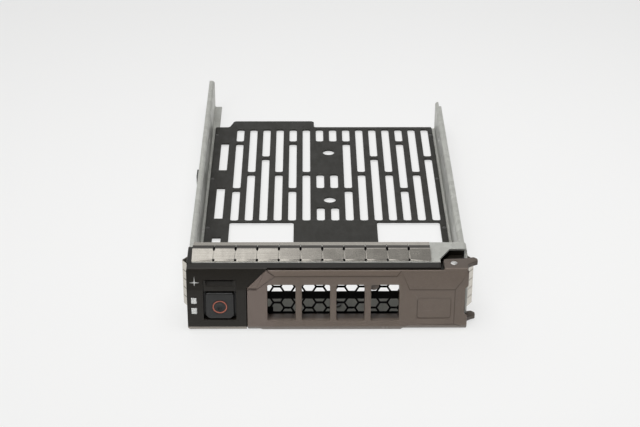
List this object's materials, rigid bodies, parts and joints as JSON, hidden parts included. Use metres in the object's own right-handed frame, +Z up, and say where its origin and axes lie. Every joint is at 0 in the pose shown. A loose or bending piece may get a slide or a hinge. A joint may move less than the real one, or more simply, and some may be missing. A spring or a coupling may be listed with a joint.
{
  "type": "hot swap drive caddy",
  "caption": "Tray that carries a hard drive into a bay: sheet metal base and rails, a shielded front sleeve, a latched cam handle with vents, and a release button.",
  "frame": {"origin": "on the underside of the rails, midway between them, in the plane of the handle's front face", "axes": "+X to the right seen from the front, +Y from the front face towards the connector end, +Z up"},
  "size_m": [0.1093, 0.1932, 0.0276],
  "materials": {
    "coated_steel": "satin black coat on sheet steel",
    "galvanised_steel": "galvanised sheet, dull with a faint spangle",
    "black_plastic": "fine moulded texture",
    "black_mesh": "black coat on pierced sheet",
    "handle_plastic": "warm grey brown, fine moulded texture",
    "bright_pin": "bright turned end",
    "spring_wire": "drawn spring wire",
    "button_plastic": "satin moulded",
    "orange_mark": "printed ring in a groove",
    "latch_plastic": "plain moulded",
    "black_screw": "blackened",
    "clear_plastic": "clear moulded rod with a frosted head",
    "contact_strip": "thin spring strip, satin nickel",
    "black_rivet": "coated with the plate",
    "bright_rivet": "plated rivet"
  },
  "bodies": {
    "carrier": {"base_plate": "coated_steel", "left_rail": "galvanised_steel", "right_rail": "galvanised_steel", "front_frame": "galvanised_steel", "front_bezel": "black_plastic", "mesh_screen": "black_mesh", "pivot_pin": "bright_pin", "handle_spring": "spring_wire", "latch_spring": "spring_wire", "latch_housing": "black_plastic", "housing_screws": "black_screw", "upper_light_pipe": "clear_plastic", "lower_light_pipe": "clear_plastic", "light_pipe_clip": "latch_plastic", "top_gasket": "contact_strip", "left_gasket": "contact_strip", "right_gasket": "contact_strip", "plate_rivets": "black_rivet", "frame_rivets": "bright_rivet", "floor_rivets": "bright_rivet"},
    "handle": {"handle": "handle_plastic"},
    "button": {"release_button": "button_plastic", "button_ring": "orange_mark"},
    "latch": {"latch_slider": "latch_plastic"}
  },
  "joints": [
    {"name": "handle_hinge", "type": "hinge", "parent": "carrier", "child": "handle", "pos_m": [0.0462, 0.0054, 0.013], "axis": [0, 0, 1], "range_deg": [0, 50]},
    {"name": "button_press", "type": "slide", "parent": "carrier", "child": "button", "axis": [0, 1, 0], "range_m": [0, 0.0022], "stiffness_N_per_m": 900},
    {"name": "latch_slide", "type": "slide", "parent": "carrier", "child": "latch", "axis": [-1, 0, 0], "range_m": [0, 0.0022]}
  ],
  "couplings": [
    {"joint": "latch_slide", "follows": "button_press", "ratio": 1}
  ]
}
